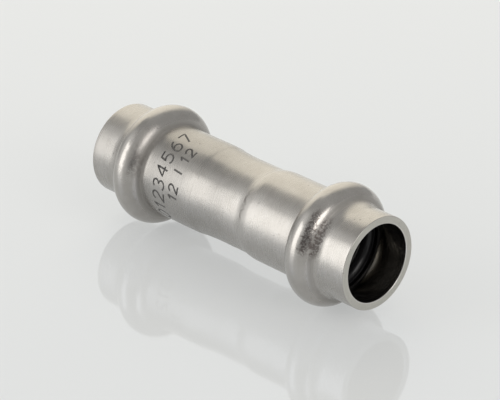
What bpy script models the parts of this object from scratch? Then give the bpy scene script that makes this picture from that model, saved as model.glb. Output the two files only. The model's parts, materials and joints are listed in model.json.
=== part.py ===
"""A press-fit coupling for 12 mm steel pipe, standing on one of its ends.

The body is a single length of stainless tube.  Both ends are widened into sockets, and near
each mouth the wall is rolled out into a bead.  The bead holds an O-ring, which stands a little
into the bore.  The neck left between the sockets is the stop that the two pipes meet.
Run it with: blender --background --python part.py
"""

import math

import bpy

MM = 0.001

# Pipe that the coupling joins, and the play it has in the bore.
PIPE_DIAMETER = 12.0 * MM
COLLAR_PLAY = 0.2 * MM  # radial, between the mouth and the bead
SOCKET_PLAY = 0.1 * MM  # radial, between the bead and the stop

# Body.
WALL = 1.2 * MM
SOCKET_DEPTH = 21.4 * MM  # from the mouth to where the stop's ramp begins
STOP_HEIGHT = 0.25 * MM  # how far the neck's bore stands inside the pipe's outside
STOP_RAMP = 1.9 * MM  # length of that ramp
NECK_LENGTH = 8.6 * MM  # between the two ramps
BEAD_FROM_MOUTH = 8.5 * MM  # from the mouth to the middle of the bead
BEAD_TILT = math.radians(68)  # end of the bead's arc on the mouth's side, from its crown
FRONT_CORNER = 0.35 * MM  # outside, between the bead and its front flank
FLANK_TILT = math.radians(30)  # slope of the flank there, which runs out level at the collar
BACK_FILLET = 0.7 * MM  # outside, between the bead and the socket
MOUTH_BEVEL = 0.1 * MM  # inside edge, broken so that the pipe goes in
RIM_EDGE = 0.1 * MM  # outside edge, broken by deburring

# Seals.
SEAL_CORD = 2.4 * MM  # diameter of the ring's round section
SEAL_BITE = 0.15 * MM  # how far the free ring stands inside the pipe's outside
SEAL_CLEARANCE = 0.3 * MM  # between the ring and the bead's inside

# Fineness of the round shapes.
TURN_STEPS = 48
CORD_STEPS = 12
BEAD_STEPS = 5  # on each side of the bead's crown
CORNER_STEPS = 2
FLANK_STEPS = 3
FILLET_STEPS = 3
RAMP_STEPS = 4
MERGE_DISTANCE = 0.001 * MM

PIPE_RADIUS = PIPE_DIAMETER / 2
COLLAR_RADIUS = PIPE_RADIUS + COLLAR_PLAY + WALL
SOCKET_RADIUS = PIPE_RADIUS + SOCKET_PLAY + WALL
NECK_RADIUS = PIPE_RADIUS - STOP_HEIGHT + WALL
SEAL_RADIUS = PIPE_RADIUS - SEAL_BITE + SEAL_CORD / 2  # to the middle of the cord
BEAD_ARC = SEAL_CORD / 2 + SEAL_CLEARANCE + WALL  # outside radius of the bead's section
MOUTH_HEIGHT = NECK_LENGTH / 2 + STOP_RAMP + SOCKET_DEPTH  # above the middle of the body
LENGTH = 2 * MOUTH_HEIGHT
BEAD_HEIGHT = MOUTH_HEIGHT - BEAD_FROM_MOUTH
STOP_START = MOUTH_HEIGHT - SOCKET_DEPTH

STEEL = (0.46, 0.44, 0.42, 1.0)
RUBBER = (0.012, 0.012, 0.013, 1.0)


def clear_scene():
    for old in list(bpy.data.objects):
        bpy.data.objects.remove(old)


def material(name, colour, roughness, metallic):
    finish = bpy.data.materials.new(name)
    finish.use_nodes = True
    shader = finish.node_tree.nodes["Principled BSDF"]
    shader.inputs["Base Color"].default_value = colour
    shader.inputs["Roughness"].default_value = roughness
    shader.inputs["Metallic"].default_value = metallic
    finish.diffuse_color = colour
    return finish


def arc(centre, radius, start, end, steps):
    """Points (radius, height) on an arc, with angles from the outward direction upwards."""
    angles = [start + (end - start) * i / steps for i in range(steps + 1)]
    return [
        (centre[0] + radius * math.cos(a), centre[1] + radius * math.sin(a)) for a in angles
    ]


def direction(start, end):
    return math.atan2(end[1] - start[1], end[0] - start[0])


def front_line(depth):
    """The collar's flare, its corner with the bead, and the bead as far as its crown."""
    reach = BEAD_ARC + FRONT_CORNER
    corner = (
        SEAL_RADIUS + reach * math.cos(BEAD_TILT),
        BEAD_HEIGHT + reach * math.sin(BEAD_TILT),
    )
    foot = corner[0] - FRONT_CORNER * math.cos(FLANK_TILT)
    flank_arc = (foot - COLLAR_RADIUS) / (1 - math.cos(FLANK_TILT))
    flank = (
        COLLAR_RADIUS + flank_arc,
        corner[1] + (flank_arc - FRONT_CORNER) * math.sin(FLANK_TILT),
    )
    bead = (SEAL_RADIUS, BEAD_HEIGHT)
    flank_end = math.pi + FLANK_TILT
    line = arc(flank, flank_arc + depth, math.pi, flank_end, FLANK_STEPS)
    line += arc(corner, FRONT_CORNER + depth, flank_end, math.pi + BEAD_TILT, CORNER_STEPS)[1:]
    return line + arc(bead, BEAD_ARC - depth, BEAD_TILT, 0.0, BEAD_STEPS)[1:]


def back_line(depth):
    """The rest of the bead, and the fillet between it and the socket."""
    bead = (SEAL_RADIUS, BEAD_HEIGHT)
    across = SOCKET_RADIUS + BACK_FILLET - SEAL_RADIUS
    along = math.sqrt((BEAD_ARC + BACK_FILLET) ** 2 - across**2)
    back = (SOCKET_RADIUS + BACK_FILLET, BEAD_HEIGHT - along)
    to_back = direction(bead, back)
    line = arc(bead, BEAD_ARC - depth, 0.0, to_back, BEAD_STEPS)[1:]
    return line + arc(back, BACK_FILLET + depth, math.pi + to_back, math.pi, FILLET_STEPS)[1:]


def bead_line(depth):
    """The rolled bead and both its sides, depth under the outer surface, from the mouth down.

    Each arc keeps its centre at every depth, so the wall stays equally thick all the way round.
    """
    return front_line(depth) + back_line(depth)


def stop_line(depth):
    """The smooth ramp from the socket to the neck, and the neck as far as the body's middle."""
    line = []
    for i in range(RAMP_STEPS + 1):
        share = i / RAMP_STEPS
        ease = (1 - math.cos(math.pi * share)) / 2
        radius = SOCKET_RADIUS + (NECK_RADIUS - SOCKET_RADIUS) * ease
        line.append((radius - depth, STOP_START - STOP_RAMP * share))
    line.append((NECK_RADIUS - depth, 0.0))
    return line


def half_profile():
    """One half of the wall's section: up the bore, across the mouth and down the outside."""
    bore = bead_line(WALL) + stop_line(WALL)
    outside = bead_line(0.0) + stop_line(0.0)
    bore_radius = COLLAR_RADIUS - WALL
    mouth = [
        (bore_radius, MOUTH_HEIGHT - MOUTH_BEVEL),
        (bore_radius + MOUTH_BEVEL, MOUTH_HEIGHT),
        (COLLAR_RADIUS - RIM_EDGE, MOUTH_HEIGHT),
        (COLLAR_RADIUS, MOUTH_HEIGHT - RIM_EDGE),
    ]
    return bore[::-1] + mouth + outside


def make_body(collection, finish):
    """Turns the half profile about Z, and mirrors it at the middle of the body."""
    points = [(radius, 0.0, height) for radius, height in half_profile()]
    mesh = bpy.data.meshes.new("coupling_body")
    mesh.from_pydata(points, [(i, i + 1) for i in range(len(points) - 1)], [])
    body = bpy.data.objects.new("coupling_body", mesh)
    body.location.z = LENGTH / 2
    body.data.materials.append(finish)
    collection.objects.link(body)

    turn = body.modifiers.new("turn", "SCREW")
    turn.steps = turn.render_steps = TURN_STEPS
    turn.use_smooth_shade = True
    turn.use_merge_vertices = True
    turn.merge_threshold = MERGE_DISTANCE

    mirror = body.modifiers.new("other_half", "MIRROR")
    mirror.use_axis = (False, False, True)
    mirror.merge_threshold = MERGE_DISTANCE

    normals = body.modifiers.new("flat_rims", "WEIGHTED_NORMAL")
    normals.keep_sharp = True
    return body


def make_seal(name, height, collection, finish):
    bpy.ops.mesh.primitive_torus_add(
        major_radius=SEAL_RADIUS,
        minor_radius=SEAL_CORD / 2,
        major_segments=TURN_STEPS,
        minor_segments=CORD_STEPS,
        location=(0.0, 0.0, height),
    )
    seal = bpy.context.object
    seal.name = seal.data.name = name
    seal.data.shade_smooth()
    seal.data.materials.append(finish)
    for home in list(seal.users_collection):
        home.objects.unlink(seal)
    collection.objects.link(seal)
    return seal


def main():
    clear_scene()
    collection = bpy.data.collections.new("press_fit_coupling")
    bpy.context.scene.collection.children.link(collection)
    steel = material("stainless_steel", STEEL, roughness=0.3, metallic=1.0)
    rubber = material("black_rubber", RUBBER, roughness=0.45, metallic=0.0)
    make_body(collection, steel)
    make_seal("seal_ring_lower", BEAD_FROM_MOUTH, collection, rubber)
    make_seal("seal_ring_upper", LENGTH - BEAD_FROM_MOUTH, collection, rubber)


main()
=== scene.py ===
import json
import math

import bpy
from mathutils import Matrix, Vector

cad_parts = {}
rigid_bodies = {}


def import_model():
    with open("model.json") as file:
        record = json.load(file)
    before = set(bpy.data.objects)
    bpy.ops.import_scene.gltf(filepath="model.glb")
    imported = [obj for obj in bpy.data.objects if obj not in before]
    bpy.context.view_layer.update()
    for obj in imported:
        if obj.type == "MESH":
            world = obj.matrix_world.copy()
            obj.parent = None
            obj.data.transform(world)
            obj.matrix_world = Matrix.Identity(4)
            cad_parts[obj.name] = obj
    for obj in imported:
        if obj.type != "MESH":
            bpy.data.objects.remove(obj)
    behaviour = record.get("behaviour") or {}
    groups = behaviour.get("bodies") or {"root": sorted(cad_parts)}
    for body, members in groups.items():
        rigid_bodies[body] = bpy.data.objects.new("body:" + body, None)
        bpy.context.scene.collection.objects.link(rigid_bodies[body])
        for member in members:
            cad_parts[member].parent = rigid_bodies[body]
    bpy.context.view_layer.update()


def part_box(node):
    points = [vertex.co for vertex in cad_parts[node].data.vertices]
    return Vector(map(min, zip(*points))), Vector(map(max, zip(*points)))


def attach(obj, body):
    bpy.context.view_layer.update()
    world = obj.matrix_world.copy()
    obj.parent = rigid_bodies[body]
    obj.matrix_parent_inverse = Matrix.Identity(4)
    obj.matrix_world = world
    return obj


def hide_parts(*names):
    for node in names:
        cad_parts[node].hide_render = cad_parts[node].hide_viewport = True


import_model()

mm = 0.001

# The coupling stands on its lower rim, with its bore on Z. In the photo it lies on its two beads, and the
# floor under it is this scene's +Y side, so the camera is turned and the pale floor stands upright.
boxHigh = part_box("coupling_body")[1]
bodyLength = boxHigh.z
beadRadius = boxHigh.x


# Sums made of nodes

class Wire:
    # one output in a node tree: adding to it or multiplying it makes the Math node
    def __init__(self, tree, socket=None):
        self.tree = tree
        self.socket = socket

    def node(self, kind, settings=None, sockets=None, out=0):
        # kind is the short name of a shader node, or the whole name of any other node
        made = self.tree.nodes.new(kind if "Node" in kind else "ShaderNode" + kind)
        for name, value in (settings or {}).items():
            if name == "stops":
                setStops(made.color_ramp, value)
            else:
                setattr(made, name, value)
        for name, value in (sockets or {}).items():
            plug(made.inputs[name], value)
        return Wire(self.tree, made.outputs[out])

    def maths(self, operation, *values):
        return self.node("Math", {"operation": operation}, dict(enumerate(values)))

    def __add__(self, other):
        return self.maths("ADD", self, other)

    def __radd__(self, other):
        return self.maths("ADD", other, self)

    def __sub__(self, other):
        return self.maths("SUBTRACT", self, other)

    def __rsub__(self, other):
        return self.maths("SUBTRACT", other, self)

    def __mul__(self, other):
        return self.maths("MULTIPLY", self, other)

    def __rmul__(self, other):
        return self.maths("MULTIPLY", other, self)

    def __truediv__(self, other):
        return self.maths("DIVIDE", self, other)

    def __rtruediv__(self, other):
        return self.maths("DIVIDE", other, self)

    def __abs__(self):
        return self.maths("ABSOLUTE", self)

    def span(self, low, high):
        # 0 below low, 1 above high, and a smooth rise between them
        settings = {"interpolation_type": "SMOOTHSTEP"}
        return self.node("MapRange", settings, {"Value": self, "From Min": low, "From Max": high})

    def fade(self, low, high):
        # the other way round: 1 below low and 0 above high
        return 1 - self.span(low, high)

    def blend(self, low, high):
        # a colour that goes from low to high as the value goes from 0 to 1
        return self.node("Mix", {"data_type": "RGBA"}, {0: self, 6: opaque(low), 7: opaque(high)}, out=2)

    def tint(self, colour, contrast):
        # brightens the colour where the value is above a half, and darkens it below
        scale = self * contrast + (1 - contrast / 2)
        return self.node("VectorMath", {"operation": "SCALE"}, {0: colour, "Scale": scale})

    def vector(self, operation, other=(0.0, 0.0, 0.0), out=0):
        return self.node("VectorMath", {"operation": operation}, {0: self, 1: other}, out)

    def scaled(self, scale):
        return self.node("VectorMath", {"operation": "SCALE"}, {0: self, "Scale": scale})

    def dot(self, other):
        return self.vector("DOT_PRODUCT", other, out="Value")

    def part(self, axis):
        return self.node("SeparateXYZ", sockets={0: self}, out=axis)

    def flat(self):
        # the vector with its height left out
        return self.vector("MULTIPLY", (1.0, 1.0, 0.0))

    def facing(self, direction, whole, end):
        # 1 within the first angle of that direction and 0 beyond the second, in degrees
        return self.dot(direction).span(math.cos(math.radians(end)), math.cos(math.radians(whole)))

    def stretched(self, across, along):
        # from the outward direction, coordinates whose marks run round the tube
        lift = self.node("CombineXYZ", sockets={"Z": along})
        return self.scaled(across).vector("ADD", lift)

    def noise(self, scale, detail):
        return self.node("TexNoise", sockets={"Vector": self, "Scale": scale, "Detail": detail})

    def bump(self):
        # the surface raised by that height, in metres
        return self.node("Bump", sockets={"Height": self, "Distance": 1.0, "Strength": 1.0})


def plug(socket, value):
    # a wire goes in by a link, and anything else as the socket's own value
    if isinstance(value, Wire):
        value.tree.links.new(value.socket, socket)
    else:
        socket.default_value = value


def opaque(colour):
    return colour if isinstance(colour, Wire) or len(colour) == 4 else tuple(colour) + (1.0,)


def setStops(ramp, stops):
    while len(ramp.elements) < len(stops):
        ramp.elements.new(1.0)
    for element, (place, level) in zip(ramp.elements, stops):
        element.position = place
        element.color = (level, level, level, 1.0)


def startMaterial(name):
    made = bpy.data.materials.new(name)
    made.use_nodes = True
    tree = made.node_tree
    return made, tree.nodes["Principled BSDF"], Wire(tree)


def feed(shader, **values):
    for name, value in values.items():
        plug(shader.inputs[name.replace("_", " ")], value)


def noisesAt(place, scales):
    # noises by name, each from its scale and its detail
    return {name: place.noise(scale, detail) for name, (scale, detail) in scales.items()}


def mixed(noises, shares, middle=0.0):
    # the named noises added up by their shares, each counted from that middle value
    total = -middle * sum(shares.values())
    for name, share in shares.items():
        total = noises[name] * share + total
    return total


# Sizes of the steel body, which the floor's place needs too

steelSize = {
    "wall": 1.2 * mm,
    "collarRadius": 7.4 * mm,
    "socketRadius": 7.3 * mm,
    "neckRadius": 6.95 * mm,
    # the stop's ramps, the lower and the upper one: distance from the mouth, length, place of the fold
    # along it, the fold's width, and the share of the drop that the fold takes
    "ramps": ((19.9 * mm, 6.5 * mm, 0.354, 0.17, 0.25), (20.6 * mm, 2.9 * mm, 0.6, 0.36, 0.14)),
    "beadFromMouth": 8.5 * mm,
    "beadCentre": 7.05 * mm,  # radius of the circle that the bead's section is centred on
    "beadTilt": 68,  # degrees of the bead's arc in front of its crown
    "frontCorner": 0.35 * mm,  # between the bead and its front flank
    "flankTilt": 30,  # degrees of the flank there, which runs out level at the collar
    "backFillet": 0.45 * mm,
    "mouthBevel": 0.11 * mm,
    "rimRound": 0.1 * mm,
    "dentDepth": 0.05 * mm,  # between the tube's lowest and highest places
    "dentScale": 190.0,
    # how finely the tube is cut round its axis, and each stretch of its section
    "turns": 200,
    "steps": {"rim": 5, "collar": 8, "flank": 16, "corner": 8, "beadFront": 18, "beadBack": 20, "fillet": 8,
              "socket": 8, "ramp": 24, "neck": 6},
}


def arc(centre, radius, start, end, steps):
    angles = [start + (end - start) * i / steps for i in range(steps + 1)]
    return [(centre[0] + radius * math.cos(a), centre[1] + radius * math.sin(a)) for a in angles]


# Stage

stageSize = {
    "floorHalf": 0.6,
    "floorGap": 0.25 * mm,  # under the near bead
    "farGap": 0.65 * mm,  # under the far bead, which stands a little higher
    "floorColour": (0.80, 0.81, 0.805),  # as it lights the object
    "seenColour": (0.36, 0.365, 0.36),  # as the camera sees it, with the glow that a thick pane has
    "seenGlow": (0.377, 0.382, 0.379),
    "sheenTint": (0.49, 0.65, 1.0),  # takes the backdrop's warm tone from its mirror image
    "floorIndex": 1.573,
    "floorRoughness": 0.045,
    "backdrop": (0.745, 0.76, 0.755),
    "roomLight": (0.48, 0.48, 0.475),
}

# Broad shades of the room: turn round the photo's up direction from +Z towards +X, height above its
# floor, the angles where the shade is whole and where it ends, and its light.
roomShades = [
    (52, 20, 12, 40, (0.28, 0.28, 0.28)),  # the dark side of the room, behind the camera
    (-143, 31, 15, 45, (1.44, 1.37, 1.21)),  # the warm lit backdrop
    (172, 56, 10, 18, (0.44, 0.44, 0.435)),  # the ceiling, which ends the backdrop
    (124, 22, 18, 44, (0.95, 0.95, 0.94)),  # glow round the right lamp
    (9, 31, 7, 28, (0.98, 0.96, 0.94)),  # glow round the front lamp
]

# Soft lamps: turn, height, distance, size across and upwards, brightness of their face, and colour.
lampSize = {
    "rightLamp": (119, 19, 0.5, 0.27, 0.36, 1.23, (1.0, 0.985, 0.965)),
    "frontLamp": (10, 32, 0.5, 0.27, 0.2, 1.65, (1.0, 0.975, 0.95)),
}

# The photo's camera, fitted to the outline: the near rim's centre in camera space, in millimetres, and the
# way from the near rim to the far one, with x right, y down and z into the picture.
cameraSize = {
    "focalPixels": 2627.6,
    "pictureWidth": 500,
    "sensorWidth": 36.0,
    "clipStart": 0.01,
    "nearRim": (18.768, 9.340, 386.569),
    "axisAway": (-0.69621, -0.32217, 0.64148),
    "floorDown": (0.005, 0.8923, 0.4513),
}


def photoDirection(turn, height):
    turn, height = math.radians(turn), math.radians(height)
    level = math.cos(height)
    return Vector((math.sin(turn) * level, -math.sin(height), math.cos(turn) * level))


def makeCamera(size):
    up = -Vector(size["axisAway"]).normalized()
    down = Vector(size["floorDown"])
    down = (down - up * down.dot(up)).normalized()
    side = down.cross(up)
    toPart = Matrix((side, down, up))  # camera space to the part's axes
    near = Vector(size["nearRim"]) * mm
    place = Vector((0.0, 0.0, bodyLength)) - toPart @ near
    turned = toPart @ Matrix(((1, 0, 0), (0, -1, 0), (0, 0, -1)))  # Blender looks down -Z, with Y up
    data = bpy.data.cameras.new("photoCamera")
    data.sensor_width = size["sensorWidth"]
    data.lens = size["focalPixels"] * size["sensorWidth"] / size["pictureWidth"]
    data.clip_start = size["clipStart"]
    camera = bpy.data.objects.new("photoCamera", data)
    camera.matrix_world = Matrix.Translation(place) @ turned.to_4x4()
    bpy.context.scene.collection.objects.link(camera)
    bpy.context.scene.camera = camera


def makeLamp(name, turn, height, distance, wide, tall, brightness, colour):
    data = bpy.data.lights.new(name, "AREA")
    data.shape = "RECTANGLE"
    data.size = wide
    data.size_y = tall
    data.energy = 4 * wide * tall * brightness  # its face shows a quarter of its watts per square metre
    data.color = colour
    lamp = bpy.data.objects.new(name, data)
    away = photoDirection(turn, height)
    middle = Vector((0.0, 0.0, bodyLength / 2))
    sideways = Vector((0, -1, 0)).cross(away).normalized()
    upwards = away.cross(sideways)
    turned = Matrix((sideways, upwards, away)).transposed()
    lamp.matrix_world = Matrix.Translation(middle + away * distance) @ turned.to_4x4()
    lamp.visible_camera = False
    bpy.context.scene.collection.objects.link(lamp)


def makeGlaze(size):
    # clear from behind, so that the other views look past the floor
    made, shader, tree = startMaterial("paleFloor")
    seen = tree.node("LightPath", out="Is Camera Ray") + tree.node("LightPath", out="Is Glossy Ray")
    seen = seen + tree.node("LightPath", out="Is Transmission Ray")
    seen = seen.maths("MINIMUM", seen, 1.0)
    feed(shader, Base_Color=seen.blend(size["floorColour"], size["seenColour"]),
         Emission_Color=seen.blend((0.0, 0.0, 0.0), size["seenGlow"]), Emission_Strength=1.0,
         Roughness=size["floorRoughness"], IOR=size["floorIndex"], Specular_Tint=opaque(size["sheenTint"]))
    behind = tree.node("NewGeometry", out="Backfacing")
    pane = Wire(tree.tree, shader.outputs[0])
    whole = tree.node("MixShader", sockets={0: behind, 1: pane, 2: tree.node("BsdfTransparent")})
    plug(tree.tree.nodes["Material Output"].inputs[0], whole)
    return made


def makeFloor(size, finish):
    bpy.ops.mesh.primitive_plane_add(size=2 * size["floorHalf"])
    floor = bpy.context.object
    floor.name = "paleFloor"
    rise = (size["farGap"] - size["floorGap"]) / (bodyLength - 2 * steelSize["beadFromMouth"])
    middleGap = (size["floorGap"] + size["farGap"]) / 2
    floor.data.transform(Matrix.Rotation(math.radians(90), 4, "X"))
    floor.data.transform(Matrix.Rotation(math.atan(rise), 4, "X"))
    floor.data.transform(Matrix.Translation((0, beadRadius + middleGap, bodyLength / 2)))
    floor.data.materials.append(finish)


def makeWorld(size, shades):
    world = bpy.data.worlds.new("softStudio")
    bpy.context.scene.world = world
    world.use_nodes = True
    tree = Wire(world.node_tree)
    direction = tree.node("TexCoord", out="Generated")
    light = size["roomLight"]
    for turn, height, whole, end, shade in shades:
        light = direction.facing(photoDirection(turn, height), whole, end).blend(light, shade)
    light = tree.node("LightPath", out="Is Camera Ray").blend(light, size["backdrop"])
    plug(world.node_tree.nodes["Background"].inputs["Color"], light)


makeCamera(cameraSize)
makeFloor(stageSize, makeGlaze(stageSize))
makeWorld(stageSize, roomShades)
for lampName, lampValues in lampSize.items():
    makeLamp(lampName, *lampValues)
bpy.context.scene.view_settings.view_transform = "Standard"
print("stage, camera and lamps are in place")


# Turned forms

class FormTree(Wire):
    # a Geometry Nodes tree under construction, with its named inputs
    def __init__(self, name, inputs):
        super().__init__(bpy.data.node_groups.new(name, "GeometryNodeTree"))
        face = self.tree.interface
        face.new_socket("Geometry", in_out="INPUT", socket_type="NodeSocketGeometry")
        face.new_socket("Geometry", in_out="OUTPUT", socket_type="NodeSocketGeometry")
        for label, kind in inputs.items():
            face.new_socket(label, in_out="INPUT", socket_type="NodeSocket" + kind)
        self.source = self.tree.nodes.new("NodeGroupInput")
        self.sink = self.tree.nodes.new("NodeGroupOutput")

    def given(self, label):
        return Wire(self.tree, self.source.outputs[label])

    def finish(self, geometry):
        # ends the tree with plain geometry that carries its material
        geometry = self.node("GeometryNodeRealizeInstances", sockets={"Geometry": geometry})
        geometry = self.node("GeometryNodeSetMaterial",
                             sockets={"Geometry": geometry, "Material": self.given("Finish")})
        plug(self.sink.inputs[0], geometry)
        return self.tree


def inputKey(group, label):
    for item in group.interface.items_tree:
        if item.item_type == "SOCKET" and item.in_out == "INPUT" and item.name == label:
            return item.identifier


def runTree(name, mesh, group, values):
    # evaluates the tree once and keeps the result as a plain mesh
    guide = bpy.data.objects.new(name + "Guide", mesh)
    bpy.context.scene.collection.objects.link(guide)
    modifier = guide.modifiers.new("turning", "NODES")
    modifier.node_group = group
    for label, value in values.items():
        modifier[inputKey(group, label)] = value
    bpy.context.view_layer.update()
    evaluated = guide.evaluated_get(bpy.context.evaluated_depsgraph_get())
    plain = bpy.data.meshes.new_from_object(evaluated)
    bpy.data.objects.remove(guide)
    plain.name = name
    piece = bpy.data.objects.new(name, plain)
    bpy.context.scene.collection.objects.link(piece)
    return piece


def dentAt(tree, place):
    # how far the steel stands off its true round at that place, in and out
    wander = place.noise(tree.given("Dent Scale"), 2.0) - 0.5
    return place.flat().vector("NORMALIZE").scaled(wander * tree.given("Dent Depth"))


def turningTree():
    # turns a closed section round Z, then lets the radius wander a little, as on a formed tube
    tree = FormTree("turnedTube", {
        "Ring Radius": "Float",
        "Turns": "Int",
        "Dent Depth": "Float",
        "Dent Scale": "Float",
        "Finish": "Material",
    })
    section = tree.node("GeometryNodeMeshToCurve", sockets={"Mesh": tree.given("Geometry")})
    along = tree.node("GeometryNodeSplineParameter", out=1)
    section = tree.node("GeometryNodeStoreNamedAttribute", {"domain": "POINT"},
                        {"Geometry": section, "Name": "along", "Value": along})
    ring = tree.node("GeometryNodeCurvePrimitiveCircle",
                     sockets={"Resolution": tree.given("Turns"), "Radius": tree.given("Ring Radius")})
    ring = tree.node("GeometryNodeSetCurveNormal", {"mode": "Z_UP"}, {"Curve": ring})
    tube = tree.node("GeometryNodeCurveToMesh", sockets={"Curve": ring, "Profile Curve": section})
    dent = dentAt(tree, tree.node("GeometryNodeInputPosition"))
    tube = tree.node("GeometryNodeSetPosition", sockets={"Geometry": tube, "Offset": dent})
    tube = tree.node("GeometryNodeSetShadeSmooth", sockets={"Geometry": tube})
    return tree.finish(tube)


def turnPiece(name, points, ringRadius, size, finish, turning):
    # the section's points are (distance from the axis, height); Curve to Mesh lays x outwards from the
    # ring and y against Z
    section = bpy.data.meshes.new(name + "Section")
    laid = [(radius - ringRadius, -height, 0.0) for radius, height in points]
    section.from_pydata(laid, [(i, (i + 1) % len(laid)) for i in range(len(laid))], [])
    return runTree(name, section, turning, {
        "Ring Radius": ringRadius,
        "Turns": size["turns"],
        "Dent Depth": size["dentDepth"],
        "Dent Scale": size["dentScale"],
        "Finish": finish,
    })


# Steel body

def smooth(share):
    share = min(max(share, 0.0), 1.0)
    return share * share * (3 - 2 * share)


def angleTo(start, end):
    return math.atan2(end[1] - start[1], end[0] - start[0])


def straight(start, end, steps):
    return [(start[0] + (end[0] - start[0]) * i / steps, start[1] + (end[1] - start[1]) * i / steps)
            for i in range(1, steps)]


def frontLine(size, depth, height):
    # the collar's long flare, the tight corner and the bead's arc as far as its crown, from the mouth down
    beadArc = beadRadius - size["beadCentre"]
    steep, flat = math.radians(size["beadTilt"]), math.radians(size["flankTilt"])
    corner = size["frontCorner"]
    cornerCentre = (size["beadCentre"] + (beadArc + corner) * math.cos(steep),
                    height + (beadArc + corner) * math.sin(steep))
    foot = cornerCentre[0] - corner * math.cos(flat)
    flank = (foot - size["collarRadius"]) / (1 - math.cos(flat))
    flankCentre = (size["collarRadius"] + flank,
                   cornerCentre[1] + (flank - corner) * math.sin(flat))
    steps = size["steps"]
    line = arc(flankCentre, flank + depth, math.pi, math.pi + flat, steps["flank"])
    line += arc(cornerCentre, corner + depth, math.pi + flat, math.pi + steep, steps["corner"])[1:]
    return line + arc((size["beadCentre"], height), beadArc - depth, steep, 0.0, steps["beadFront"])[1:]


def backLine(size, depth, height):
    # the other side of the bead and its fillet on the socket
    beadArc, fillet = beadRadius - size["beadCentre"], size["backFillet"]
    bead = (size["beadCentre"], height)
    across = size["socketRadius"] + fillet - bead[0]
    centre = (size["socketRadius"] + fillet, height - math.sqrt((beadArc + fillet) ** 2 - across ** 2))
    toBack = angleTo(bead, centre)
    line = arc(bead, beadArc - depth, 0.0, toBack, size["steps"]["beadBack"])[1:]
    return line + arc(centre, fillet + depth, math.pi + toBack, math.pi, size["steps"]["fillet"])[1:]


def rampLine(size, depth, ramp):
    # down the stop's ramp from the socket to the neck, with a fold part of the way
    fromMouth, length, foldAt, foldWidth, foldShare = ramp
    top = bodyLength / 2 - fromMouth
    socket, neck = size["socketRadius"] - depth, size["neckRadius"] - depth
    steps = size["steps"]["ramp"]
    line = []
    for i in range(steps + 1):
        share = i / steps
        ease = smooth(share)
        ease += foldShare * (smooth((share - foldAt) / foldWidth + 0.5) - ease)
        line.append((socket + (neck - socket) * ease, top - length * share))
    return line


def wallLine(size, depth, ramp):
    # the tube's surface at that depth under the outside, from the upper mouth down to the middle
    height = bodyLength / 2 - size["beadFromMouth"]
    line = frontLine(size, depth, height) + backLine(size, depth, height)
    drop = rampLine(size, depth, ramp)
    line += straight(line[-1], drop[0], size["steps"]["socket"]) + drop
    return line + straight(line[-1], (size["neckRadius"] - depth, 0.0), size["steps"]["neck"])


def halfSection(size, ramp):
    # up the bore, over the mouth and down the outside, of the half above the middle
    mouth, steps = bodyLength / 2, size["steps"]
    outside, bore = wallLine(size, 0.0, ramp), wallLine(size, size["wall"], ramp)
    boreRadius = size["collarRadius"] - size["wall"]
    bevel, edge = size["mouthBevel"], size["rimRound"]
    rim = [(boreRadius, mouth - bevel - edge)]
    rim += arc((boreRadius + bevel, mouth - bevel), bevel, math.pi, math.pi / 2, steps["rim"])
    rim += [(boreRadius + bevel + edge, mouth)]
    rim += arc((size["collarRadius"] - edge, mouth - edge), edge, math.pi / 2, 0.0, steps["rim"])
    toRim = straight(bore[0], rim[0], steps["collar"])
    fromRim = straight(rim[-1], outside[0], steps["collar"])
    return bore[::-1] + toRim + rim + fromRim + outside


def bodySection(size):
    lowerRamp, upperRamp = size["ramps"]
    upper = halfSection(size, upperRamp)
    lower = [(radius, -height) for radius, height in halfSection(size, lowerRamp)[::-1]]
    neck = size["neckRadius"]
    points = upper + [(neck, 0.0)] + lower + [(neck - size["wall"], 0.0)]
    return [(radius, height + bodyLength / 2) for radius, height in points]


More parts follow.
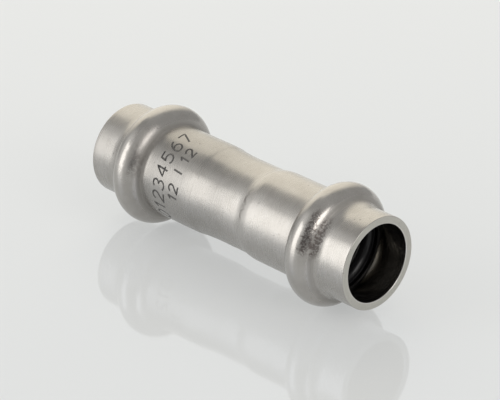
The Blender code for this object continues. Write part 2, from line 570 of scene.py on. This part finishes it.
steelLook = {
    "bare": (0.502, 0.483, 0.458),
    "clouded": (0.445, 0.426, 0.399),
    # colour of the bore, darkened as painted shade of its recess
    "inner": (0.335, 0.32, 0.297),
    # dark of the pits, and of the painted shade in the bead corners and along the folds
    "pitAndShadeDark": (0.17, 0.155, 0.14),
    "stain": (0.18, 0.157, 0.147),  # brown heat and rolling marks on the beads
    "edge": (0.70, 0.68, 0.65),
    "sawn": (0.572, 0.556, 0.508),  # the cut faces of the mouths
    # how much of its colour the steel keeps, from the lower mouth at 0 to the upper one at 1: darker over
    # the lower socket and its ramp
    "lengthwiseDarkening": [(0.0, 0.94), (0.16, 0.96), (0.24, 0.765), (0.38, 0.785), (0.48, 0.835), (0.54, 0.93),
                 (0.60, 0.98), (0.66, 0.97), (1.0, 0.945)],
    "metallic": 0.88,  # outside, under a thin oxide; the bore is bare metal
    "anisotropy": 0.35,
    "anisotropyTurn": 0.25,

    # where the zones start and are whole
    "rimDepths": (0.17 * mm, 0.12 * mm),  # under the mouth
    "sawnDepths": (0.04 * mm, 0.01 * mm),
    "edgeWidth": 0.04 * mm,  # of the bright inner edge of the mouth
    "inwardFacing": (-0.25, -0.02),  # the bore faces outwards by less than the first of these
    "crownRadii": (8.1 * mm, 8.6 * mm),  # where the rolling tool has burnished the beads

    # brush marks that run round the tube: their noise's scale round it, scale along the section and detail
    "brushes": {"brush": (2.6, 5200, 3.0), "scratch": (1.4, 2100, 2.0)},
    "noises": {"grain": (5200, 2.0), "speckle": (3300, 3.0), "mottle": (1500, 4.0), "cloud": (170, 3.0),
               "patch": (520, 3.0), "pits": (2300, 1.0)},
    "saw": ((9000.0, 700.0, 0.0), 3.0),  # scale along each axis, and detail

    # colour: shares of the noises, how much they brighten and darken it, and what lies over them
    "toneMix": {"cloud": 0.55, "patch": 0.45},
    "toneRange": (0.32, 0.68),  # of that mix, where the steel is clouded and where it is bare
    "sawnMix": {"saw": 0.6, "grain": 0.4},
    "sawnContrast": 0.34,
    "streakMix": {"brush": 0.34, "scratch": 0.26, "grain": 0.22, "mottle": 0.2},
    "streakContrast": 0.32,
    "pitRange": (0.755, 0.80),  # of the pits' noise, where a pit starts and is whole
    "pitDarkness": 0.6,
    "stainDarkness": 0.9,

    # relief
    "reliefMix": {"brush": 0.003 * mm, "grain": 0.004 * mm, "scratch": 0.003 * mm},
    "crownWorn": 0.5,  # share of that relief that the burnished crowns have lost
    "crownSpots": 0.35,  # strength of the speckle on the crowns
    "stainSpots": 0.9,  # and in the stained patches
    "spotDepth": 0.014 * mm,
    "pitDepth": 0.02 * mm,

    # roughness of the tube and of its zones, and what the noises add
    "tubeRoughness": 0.27,
    "zoneRoughness": {"crown": 0.19, "inner": 0.21, "cut": 0.36, "edge": 0.14},
    "roughMix": {"cloud": 0.12, "brush": 0.10},
    "spotRoughness": 0.34,
    "stainGloss": 0.06,

    # painted shade in the corners at the feet of the beads, which are made rougher too: distance from each
    # mouth, darkness of the painted shade and roughness
    "shadedCreases": ((5.95 * mm, 0.08, 0.26), (11.4 * mm, 0.12, 0.36)),
    "creaseWidths": (0.15 * mm, 0.5 * mm),  # from its middle, where a band of painted shade and roughness starts to fade and ends
    "stainWander": 1.6 * mm,  # how far the edges of a stained patch stray
    "stainEdge": (0.5, 1.5),  # shares of its half width where a patch starts to fade and ends
    "stainSpread": (0.6, 1.2),  # the same for half of its angle
    "stainBreaks": (0.36, 0.56),  # of the speckle, where a patch is gone and where it is whole
    "foldWander": (6.5, 900, 3.0),  # the noise that bends a fold, given as the brushes are
    "foldSpread": (0.7, 1.1),  # shares of half of its angle where a fold starts to fade and ends
    "foldBreaks": (0.38, 0.58),  # of the patch noise, where a fold is broken and where it is whole
    "foldLeft": 0.3,  # share of a fold that stays in its breaks
}

# Stained patches on the beads: distance from the upper mouth, half width, angle round the tube, half of
# the angle it spans, strength, and how much rougher the patch is.
stainPlaces = [
    (7.1 * mm, 0.45 * mm, -36, 22, 1.0, 0.0),
    (5.75 * mm, 0.44 * mm, -35, 24, 1.0, 0.0),
    (6.45 * mm, 0.36 * mm, -25, 12, 0.6, 0.01),
    (44.6 * mm, 0.50 * mm, -23, 14, 0.45, 0.01),
    (44.5 * mm, 0.90 * mm, -48, 22, 0.03, 0.14),
    (45.5 * mm, 0.50 * mm, -32, 30, 0.0, 0.18),
    (9.2 * mm, 0.5 * mm, 118, 40, 0.6, 0.01),
    (47.4 * mm, 0.7 * mm, 160, 46, 0.6, 0.01),
]

# Folds that the tool left at the neck's ends, each a groove with a line of painted shade along it: distance
# from the upper mouth, half width, wobble, angle of their middle, half of the angle they span, darkness of
# the painted shade and depth.
foldPlaces = [
    (22.2 * mm, 0.40 * mm, 2.6 * mm, -33, 22, 0.75, 0.03 * mm),
    (22.5 * mm, 0.10 * mm, 0.5 * mm, -50, 70, 0.2, 0.012 * mm),
    (32.5 * mm, 0.16 * mm, 0.6 * mm, -43, 7, 0.36, 0.012 * mm),
    (32.9 * mm, 0.10 * mm, 0.5 * mm, -60, 70, 0.12, 0.008 * mm),
    (22.4 * mm, 0.16 * mm, 0.9 * mm, 150, 70, 0.40, 0.018 * mm),
    (32.7 * mm, 0.14 * mm, 0.8 * mm, 95, 60, 0.30, 0.018 * mm),
]


def steelPlaces(tree, size, look):
    # where a point of the tube is, and masks of its zones
    place = tree.node("TexCoord", out="Object")
    radial, radius = place.flat().vector("NORMALIZE"), place.flat().vector("LENGTH", out="Value")
    mouth = bodyLength / 2
    fromMiddle = abs(place.part("Z") - mouth)
    rim, cut = [fromMiddle.span(mouth - start, mouth - whole)
                for start, whole in (look["rimDepths"], look["sawnDepths"])]
    outward = tree.node("NewGeometry", out="Normal").dot(radial)
    inner = outward.fade(*look["inwardFacing"]) * (1 - rim)
    outer = 1 - inner
    edgeRadius = size["collarRadius"] - size["wall"] + size["mouthBevel"]
    return {
        "place": place,
        "radial": radial,
        "height": place.part("Z"),
        "fromMiddle": fromMiddle,
        "inner": inner,
        "outer": outer,
        "cut": cut,
        "edge": radius.fade(edgeRadius, edgeRadius + look["edgeWidth"]) * rim,
        "crown": radius.span(*look["crownRadii"]) * outer,
    }


def addNoises(steel, along, look):
    steel.update(noisesAt(steel["place"], look["noises"]))
    for name, (across, lengthways, detail) in look["brushes"].items():
        steel[name] = steel["radial"].stretched(across, along * lengthways).noise(1.0, detail)
    scales, detail = look["saw"]
    steel["saw"] = steel["place"].vector("MULTIPLY", scales).noise(1.0, detail)
    steel["pits"] = steel["pits"].span(*look["pitRange"]) * steel["outer"]


def nearAngle(radial, angle, spread, shares):
    # 1 round that angle of the tube, fading between those shares of the spread on either side of it
    turn = math.radians(angle)
    whole, end = [spread * share for share in shares]
    return radial.facing((math.cos(turn), math.sin(turn), 0.0), whole, end)


def addStains(steel, places, look):
    stained, stainRough = 0.0, 0.0
    for fromMouth, half, angle, spread, strength, rougher in places:
        gap = abs(steel["height"] - (bodyLength - fromMouth))
        gap = gap + (steel["mottle"] - 0.5) * look["stainWander"]
        band = gap.fade(*[half * share for share in look["stainEdge"]])
        band = band * nearAngle(steel["radial"], angle, spread, look["stainSpread"]) * steel["outer"]
        stained = band * strength + stained
        stainRough = band * rougher + stainRough
    steel["stained"] = stained * steel["speckle"].span(*look["stainBreaks"])
    steel["stainRough"] = stainRough
    steel["spotted"] = steel["crown"] * look["crownSpots"] + steel["stained"] * look["stainSpots"]


def addCreaseShades(steel, look):
    creased, creaseRough = 0.0, 0.0
    for fromMouth, dark, rougher in look["shadedCreases"]:
        gap = abs(steel["fromMiddle"] - (bodyLength / 2 - fromMouth))
        band = gap.fade(*look["creaseWidths"]) * steel["outer"]
        # painted shade in the corner at the bead's foot
        creased = band * dark + creased
        creaseRough = band * rougher + creaseRough
    steel["creased"], steel["creaseRough"] = creased, creaseRough


def addFolds(steel, places, look):
    folded, groove = 0.0, 0.0
    across, lengthways, detail = look["foldWander"]
    broken = steel["patch"].span(*look["foldBreaks"]) * (1 - look["foldLeft"]) + look["foldLeft"]
    for fromMouth, half, wobble, angle, spread, dark, depth in places:
        wander = steel["radial"].stretched(across, fromMouth * lengthways).noise(1.0, detail)
        gap = abs(steel["height"] - (bodyLength - fromMouth) + (wander - 0.5) * wobble)
        line = gap.fade(0.0, half) * nearAngle(steel["radial"], angle, spread, look["foldSpread"])
        line = line * steel["outer"] * broken
        # painted shade along the fold, over its groove
        folded = line * dark + folded
        groove = line * depth + groove
    steel["folded"], steel["groove"] = folded, groove


def steelColour(steel, look):
    colour = mixed(steel, look["toneMix"]).span(*look["toneRange"]).blend(look["clouded"], look["bare"])
    kept = steel["height"].node("ValToRGB", {"stops": look["lengthwiseDarkening"]}, {0: steel["height"] / bodyLength})
    colour = kept.blend((0.0, 0.0, 0.0), colour)
    sawn = mixed(steel, look["sawnMix"]).tint(look["sawn"], look["sawnContrast"])
    colour = steel["cut"].blend(colour, sawn)
    streaks = mixed(steel, look["streakMix"], 0.5) * steel["outer"] + 0.5
    colour = streaks.tint(colour, look["streakContrast"])
    colour = (steel["pits"] * look["pitDarkness"]).blend(colour, look["pitAndShadeDark"])
    colour = (steel["stained"] * look["stainDarkness"]).blend(colour, look["stain"])
    # painted shade in the bead corners and along the folds
    colour = (steel["folded"] + steel["creased"]).blend(colour, look["pitAndShadeDark"])
    # painted shade over the bore
    colour = steel["inner"].blend(colour, look["inner"])
    return steel["edge"].blend(colour, look["edge"])


def steelRoughness(steel, look):
    rough = mixed(steel, look["roughMix"], 0.5) + look["tubeRoughness"]
    for zone, roughness in look["zoneRoughness"].items():
        rough = rough + steel[zone] * (roughness - look["tubeRoughness"])
    rough = rough + (steel["speckle"] - 0.5) * steel["spotted"] * look["spotRoughness"]
    return rough - steel["stained"] * look["stainGloss"] + steel["stainRough"] + steel["creaseRough"]


def steelRelief(steel, look):
    relief = mixed(steel, look["reliefMix"]) * (1 - steel["crown"] * look["crownWorn"])
    relief = relief + steel["speckle"] * steel["spotted"] * look["spotDepth"]
    return relief - steel["groove"] - steel["pits"] * look["pitDepth"]


def makeSteel(size, look, stains, folds):
    made, shader, tree = startMaterial("satinSteel")
    steel = steelPlaces(tree, size, look)
    addNoises(steel, tree.node("Attribute", {"attribute_name": "along"}, out="Fac"), look)
    addStains(steel, stains, look)
    addCreaseShades(steel, look)
    addFolds(steel, folds, look)
    metallic = steel["inner"] * (1 - look["metallic"]) + look["metallic"]
    feed(shader, Base_Color=steelColour(steel, look), Metallic=metallic,
         Roughness=steelRoughness(steel, look), Normal=steelRelief(steel, look).bump(),
         Anisotropic=look["anisotropy"], Anisotropic_Rotation=look["anisotropyTurn"])
    return made


def makeBody(size, finish, turning):
    ringRadius = size["socketRadius"] - size["wall"] / 2
    body = turnPiece("steelBody", bodySection(size), ringRadius, size, finish, turning)
    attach(body, "root")
    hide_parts("coupling_body")
    return body


turning = turningTree()
steelBody = makeBody(steelSize, makeSteel(steelSize, steelLook, stainPlaces, foldPlaces), turning)
print("steel body:", len(steelBody.data.polygons), "faces")


# Marks beside the far bead: two rows of plain numbers, which run round the tube

markSize = {
    "tubeRadius": 7.3 * mm,
    "strokeWidth": 0.3 * mm,
    "thickness": 0.024 * mm,
    "proud": 0.004 * mm,
    "cuts": 5,  # of each line between two of its points, so that it follows the tube
    # signs, angle where the row starts, height of its foot line above the lower mouth, height of its signs
    "rows": (("01234567", 41, 16.45 * mm, 2.35 * mm), ("12 | 12", 2, 19.45 * mm, 1.9 * mm)),
    "lean": 0.1,  # of a sign's height
}


def bow(middle, across, upward, start, end, steps=10):
    # part of an ellipse, with its angles in degrees; a whole round takes 20 steps
    angles = [math.radians(start + (end - start) * i / steps) for i in range(steps + 1)]
    return [(middle[0] + across * math.cos(a), middle[1] + upward * math.sin(a)) for a in angles]


# Figures as lists of lines, with the width that each takes, in shares of the row's height.
figures = {
    "0": ([bow((0.31, 0.5), 0.31, 0.5, 90, 450, 20)], 0.94),
    "1": ([[(0.02, 0.72), (0.26, 1.0), (0.26, 0.0)]], 0.66),
    "2": ([bow((0.31, 0.71), 0.29, 0.29, 165, -40) + [(0.0, 0.0), (0.64, 0.0)]], 0.86),
    "3": ([bow((0.29, 0.755), 0.27, 0.245, 150, -85), bow((0.29, 0.265), 0.31, 0.265, 85, -150)], 0.92),
    "4": ([[(0.5, 0.0), (0.5, 1.0), (0.0, 0.3), (0.68, 0.3)]], 0.98),
    "5": ([[(0.56, 1.0), (0.1, 1.0), (0.05, 0.54)] + bow((0.29, 0.32), 0.32, 0.32, 125, -145)], 0.92),
    "6": ([bow((0.56, 0.42), 0.5, 0.58, 95, 160) + bow((0.33, 0.31), 0.3, 0.31, 175, 535, 20)], 0.94),
    "7": ([[(0.0, 1.0), (0.62, 1.0), (0.2, 0.0)]], 0.9),
    "|": ([[(0.42, 0.0), (0.42, 1.0)]], 0.84),
    " ": ([], 0.5),
}


def markLines(size):
    # each line's points as (way round the tube, height), which the tree wraps round it
    lines = []
    for signs, angle, foot, tall in size["rows"]:
        start = math.radians(angle) * size["tubeRadius"]
        for sign in signs:
            strokes, width = figures[sign]
            for stroke in strokes:
                lines.append([(start - (x + size["lean"] * y) * tall, foot - y * tall) for x, y in stroke])
            start -= width * tall
    return lines


def markMesh(size):
    points, edges = [], []
    for line in markLines(size):
        edges += [(len(points) + i, len(points) + i + 1) for i in range(len(line) - 1)]
        points += [(across, height, 0.0) for across, height in line]
    mesh = bpy.data.meshes.new("markLines")
    mesh.from_pydata(points, edges, [])
    return mesh


def wrappedRound(tree, laid):
    # where a point of the flat lines lands on the tube, with its dents
    angle = laid.part("X") / tree.given("Tube Radius")
    cosine, sine = angle.maths("COSINE", angle), angle.maths("SINE", angle)
    outward = tree.node("CombineXYZ", sockets={"X": cosine, "Y": sine})
    lift = tree.node("CombineXYZ", sockets={"Z": laid.part("Y")})
    surface = outward.scaled(tree.given("Tube Radius")).vector("ADD", lift)
    depth = laid.part("Z") + (tree.given("Proud") - tree.given("Thickness") * 0.5)
    return surface.vector("ADD", outward.scaled(depth)).vector("ADD", dentAt(tree, surface))


def wrappingTree():
    # gives flat lines a thin flat bar's section and wraps them round the tube
    tree = FormTree("wrappedMarks", {
        "Tube Radius": "Float",
        "Stroke Width": "Float",
        "Thickness": "Float",
        "Proud": "Float",
        "Cuts": "Int",
        "Dent Depth": "Float",
        "Dent Scale": "Float",
        "Finish": "Material",
    })
    line = tree.node("GeometryNodeMeshToCurve", sockets={"Mesh": tree.given("Geometry")})
    line = tree.node("GeometryNodeSubdivideCurve", sockets={"Curve": line, "Cuts": tree.given("Cuts")})
    line = tree.node("GeometryNodeSetCurveNormal", {"mode": "Z_UP"}, {"Curve": line})
    section = tree.node("GeometryNodeCurvePrimitiveQuadrilateral",
                        sockets={"Width": tree.given("Stroke Width"), "Height": tree.given("Thickness")})
    bar = tree.node("GeometryNodeCurveToMesh",
                    sockets={"Curve": line, "Profile Curve": section, "Fill Caps": True})
    wrapped = wrappedRound(tree, tree.node("GeometryNodeInputPosition"))
    bar = tree.node("GeometryNodeSetPosition", sockets={"Geometry": bar, "Position": wrapped})
    return tree.finish(bar)


markLook = {
    "dark": (0.052, 0.050, 0.050),
    "light": (0.15, 0.145, 0.14),
    "noises": {"grain": (6500, 2.0), "cloud": (420, 3.0)},
    "toneMix": {"grain": 0.5, "cloud": 0.5},
    "toneRange": (0.34, 0.66),
    "grainDepth": 0.006 * mm,
    "metallic": 0.55,
    "roughness": 0.38,
    "grainRoughness": 0.2,
}


def makeEtch(look):
    made, shader, tree = startMaterial("darkEtching")
    noises = noisesAt(tree.node("TexCoord", out="Object"), look["noises"])
    tone = mixed(noises, look["toneMix"]).span(*look["toneRange"])
    feed(shader, Base_Color=tone.blend(look["dark"], look["light"]), Metallic=look["metallic"],
         Roughness=look["roughness"] + noises["grain"] * look["grainRoughness"],
         Normal=(noises["grain"] * look["grainDepth"]).bump())
    return made


def makeMarks(size, steel, finish):
    marks = runTree("sizeMarks", markMesh(size), wrappingTree(), {
        "Tube Radius": size["tubeRadius"],
        "Stroke Width": size["strokeWidth"],
        "Thickness": size["thickness"],
        "Proud": size["proud"],
        "Cuts": size["cuts"],
        "Dent Depth": steel["dentDepth"],
        "Dent Scale": steel["dentScale"],
        "Finish": finish,
    })
    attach(marks, "root")
    return marks


marks = makeMarks(markSize, steelSize, makeEtch(markLook))
print("marks:", len(marks.data.polygons), "faces")


# Seal rings

sealSize = {
    "cordRadius": 1.2 * mm,
    "ringRadius": 7.05 * mm,
    "fromMouth": 8.5 * mm,
    "dentDepth": 0.0,
    "dentScale": 200.0,
    "turns": 160,
    "around": 32,
}

sealLook = {
    "dark": (0.007, 0.007, 0.008),
    "light": (0.019, 0.019, 0.020),
    "seam": (0.03, 0.03, 0.031),  # the mould's parting line, along the top and bottom of the ring
    "seamShare": 0.5,
    "seamWidths": (0.02 * mm, 0.07 * mm),
    "seamHeight": 0.03 * mm,
    "noises": {"grain": (3000, 3.0), "cloud": (260, 3.0)},
    "toneMix": {"cloud": 0.7, "grain": 0.3},
    "grainDepth": 0.004 * mm,
    "oilRange": (0.42, 0.62),  # of the cloud noise, where a film of oil starts and is whole
    "oilCoat": 0.06,
    "oilGloss": 0.06,
    "roughness": 0.17,
    "specular": 0.26,
}


def sealSection(size, height):
    circle = arc((size["ringRadius"], height), size["cordRadius"], 0.0, 2 * math.pi, size["around"])
    return circle[:-1][::-1]


def makeRubber(size, look):
    made, shader, tree = startMaterial("blackRubber")
    place = tree.node("TexCoord", out="Object")
    noises = noisesAt(place, look["noises"])
    offCord = abs(place.flat().vector("LENGTH", out="Value") - size["ringRadius"])
    seam = offCord.fade(*look["seamWidths"])
    oil = noises["cloud"].span(*look["oilRange"])
    colour = mixed(noises, look["toneMix"]).blend(look["dark"], look["light"])
    colour = (seam * look["seamShare"]).blend(colour, look["seam"])
    relief = noises["grain"] * look["grainDepth"] + seam * look["seamHeight"]
    feed(shader, Base_Color=colour, Roughness=look["roughness"] - oil * look["oilGloss"],
         Specular_IOR_Level=look["specular"], Coat_Weight=oil * look["oilCoat"], Normal=relief.bump())
    return made


def makeSeal(name, node, height, size, finish, turning):
    seal = turnPiece(name, sealSection(size, height), size["ringRadius"], size, finish, turning)
    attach(seal, "root")
    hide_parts(node)
    return seal


rubber = makeRubber(sealSize, sealLook)
makeSeal("lowerSeal", "seal_ring_lower", sealSize["fromMouth"], sealSize, rubber, turning)
makeSeal("upperSeal", "seal_ring_upper", bodyLength - sealSize["fromMouth"], sealSize, rubber, turning)
print("seal rings are in their beads")
